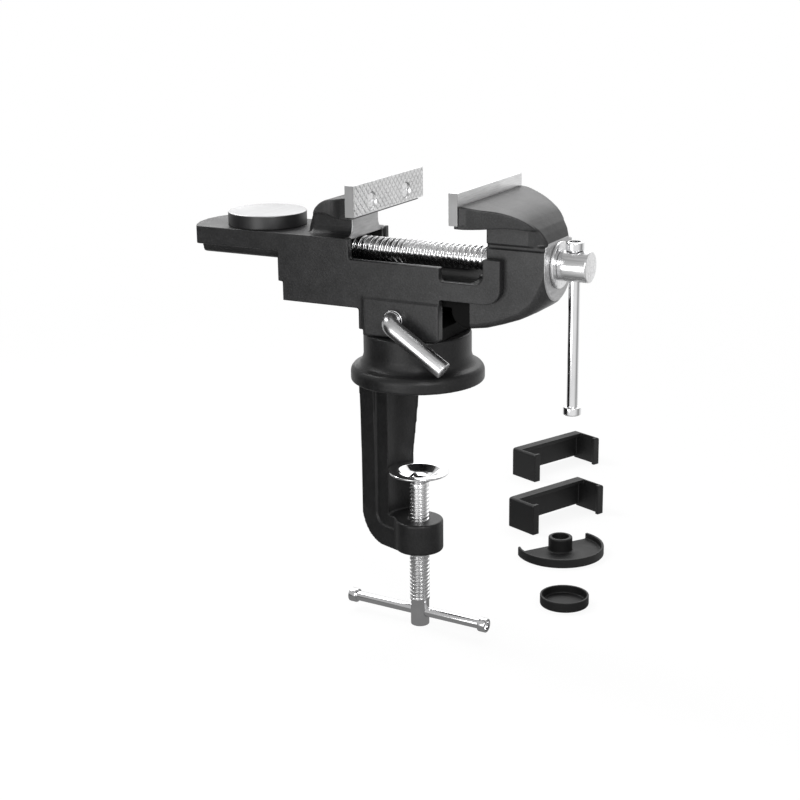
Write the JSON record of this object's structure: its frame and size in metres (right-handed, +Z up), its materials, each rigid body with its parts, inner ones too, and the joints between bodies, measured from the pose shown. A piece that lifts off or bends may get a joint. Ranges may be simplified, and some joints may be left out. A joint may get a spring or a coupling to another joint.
{
  "type": "suction base vise",
  "caption": "Small table vise: C-clamp base with a cupped clamp screw, swivelling slab body with a round anvil, sliding jaw on a T-handled screw, lock lever and loose soft covers.",
  "frame": {"origin": "centre of the round flange's underside, which rests on the table's top, on the swivel axis", "axes": "+Z up along the swivel axis; +X along the main screw towards its T-handle; +Y away from the lock lever's side"},
  "size_m": [0.2098, 0.3228, 0.2283],
  "materials": {
    "black_casting": "textured powder coat, satin",
    "ground_steel": "ground and brushed",
    "plain_steel": "plain turned",
    "nut_iron": "machined, oiled",
    "bright_plate": "bright plated",
    "black_rubber": "matte moulded"
  },
  "bodies": {
    "base": {"clamp_frame": "black_casting", "swivel_bolt": "plain_steel", "swivel_washer": "plain_steel", "swivel_nut": "plain_steel", "soft_jaw_cover_a": "black_rubber", "soft_jaw_cover_b": "black_rubber", "flange_pad": "black_rubber", "cup_cap": "black_rubber"},
    "head": {"vise_body": "black_casting", "anvil_disc": "ground_steel", "rear_jaw_plate": "ground_steel", "rear_jaw_screws": "plain_steel", "screw_bearing": "nut_iron", "lock_pin": "plain_steel", "lever_ring": "bright_plate"},
    "moving_jaw": {"front_jaw": "black_casting", "front_jaw_plate": "ground_steel", "front_jaw_screws": "plain_steel", "jaw_nut": "bright_plate"},
    "spindle": {"main_screw": "bright_plate", "stop_collar": "bright_plate", "retaining_ring": "bright_plate"},
    "spindle_bar": {"main_bar": "bright_plate", "main_bar_knob_top": "bright_plate", "main_bar_knob_bottom": "bright_plate"},
    "lever": {"lock_lever": "bright_plate"},
    "cup": {"clamp_cup": "bright_plate"},
    "clamp_spindle": {"clamp_screw": "bright_plate", "cup_rivet": "bright_plate"},
    "clamp_handle": {"clamp_bar": "bright_plate", "clamp_bar_knob_left": "bright_plate", "clamp_bar_knob_right": "bright_plate"}
  },
  "joints": [
    {"name": "swivel", "type": "hinge", "parent": "base", "child": "head", "pos_m": [0, 0, 0.024], "axis": [0, 0, 1], "continuous": true},
    {"name": "jaw_slide", "type": "slide", "parent": "head", "child": "moving_jaw", "axis": [1, 0, 0], "range_m": [-0.0485, 0]},
    {"name": "screw_turn", "type": "hinge", "parent": "head", "child": "spindle", "pos_m": [-0.05, 0, 0.0625], "axis": [1, 0, 0], "range_deg": [-5840, 10]},
    {"name": "bar_slide", "type": "slide", "parent": "spindle", "child": "spindle_bar", "axis": [0, 0, 1], "range_m": [0, 0.059]},
    {"name": "lever_turn", "type": "hinge", "parent": "head", "child": "lever", "pos_m": [-0.0013, -0.0287, 0.0333], "axis": [0, -1, 0], "range_deg": [0, 80]},
    {"name": "cup_slide", "type": "slide", "parent": "base", "child": "cup", "axis": [0, 0, 1], "range_m": [-0.016, 0.027]},
    {"name": "clamp_turn", "type": "hinge", "parent": "cup", "child": "clamp_spindle", "pos_m": [0, 0, -0.12], "axis": [0, 0, 1], "range_deg": [-2900, 4880]},
    {"name": "clamp_bar_slide", "type": "slide", "parent": "clamp_spindle", "child": "clamp_handle", "axis": [0.9981, -0.061, 0], "range_m": [-0.0295, 0.0325]}
  ],
  "couplings": [
    {"joint": "screw_turn", "follows": "jaw_slide", "rad_per_m": 2094.4},
    {"joint": "clamp_turn", "follows": "cup_slide", "rad_per_m": 3141.6}
  ]
}
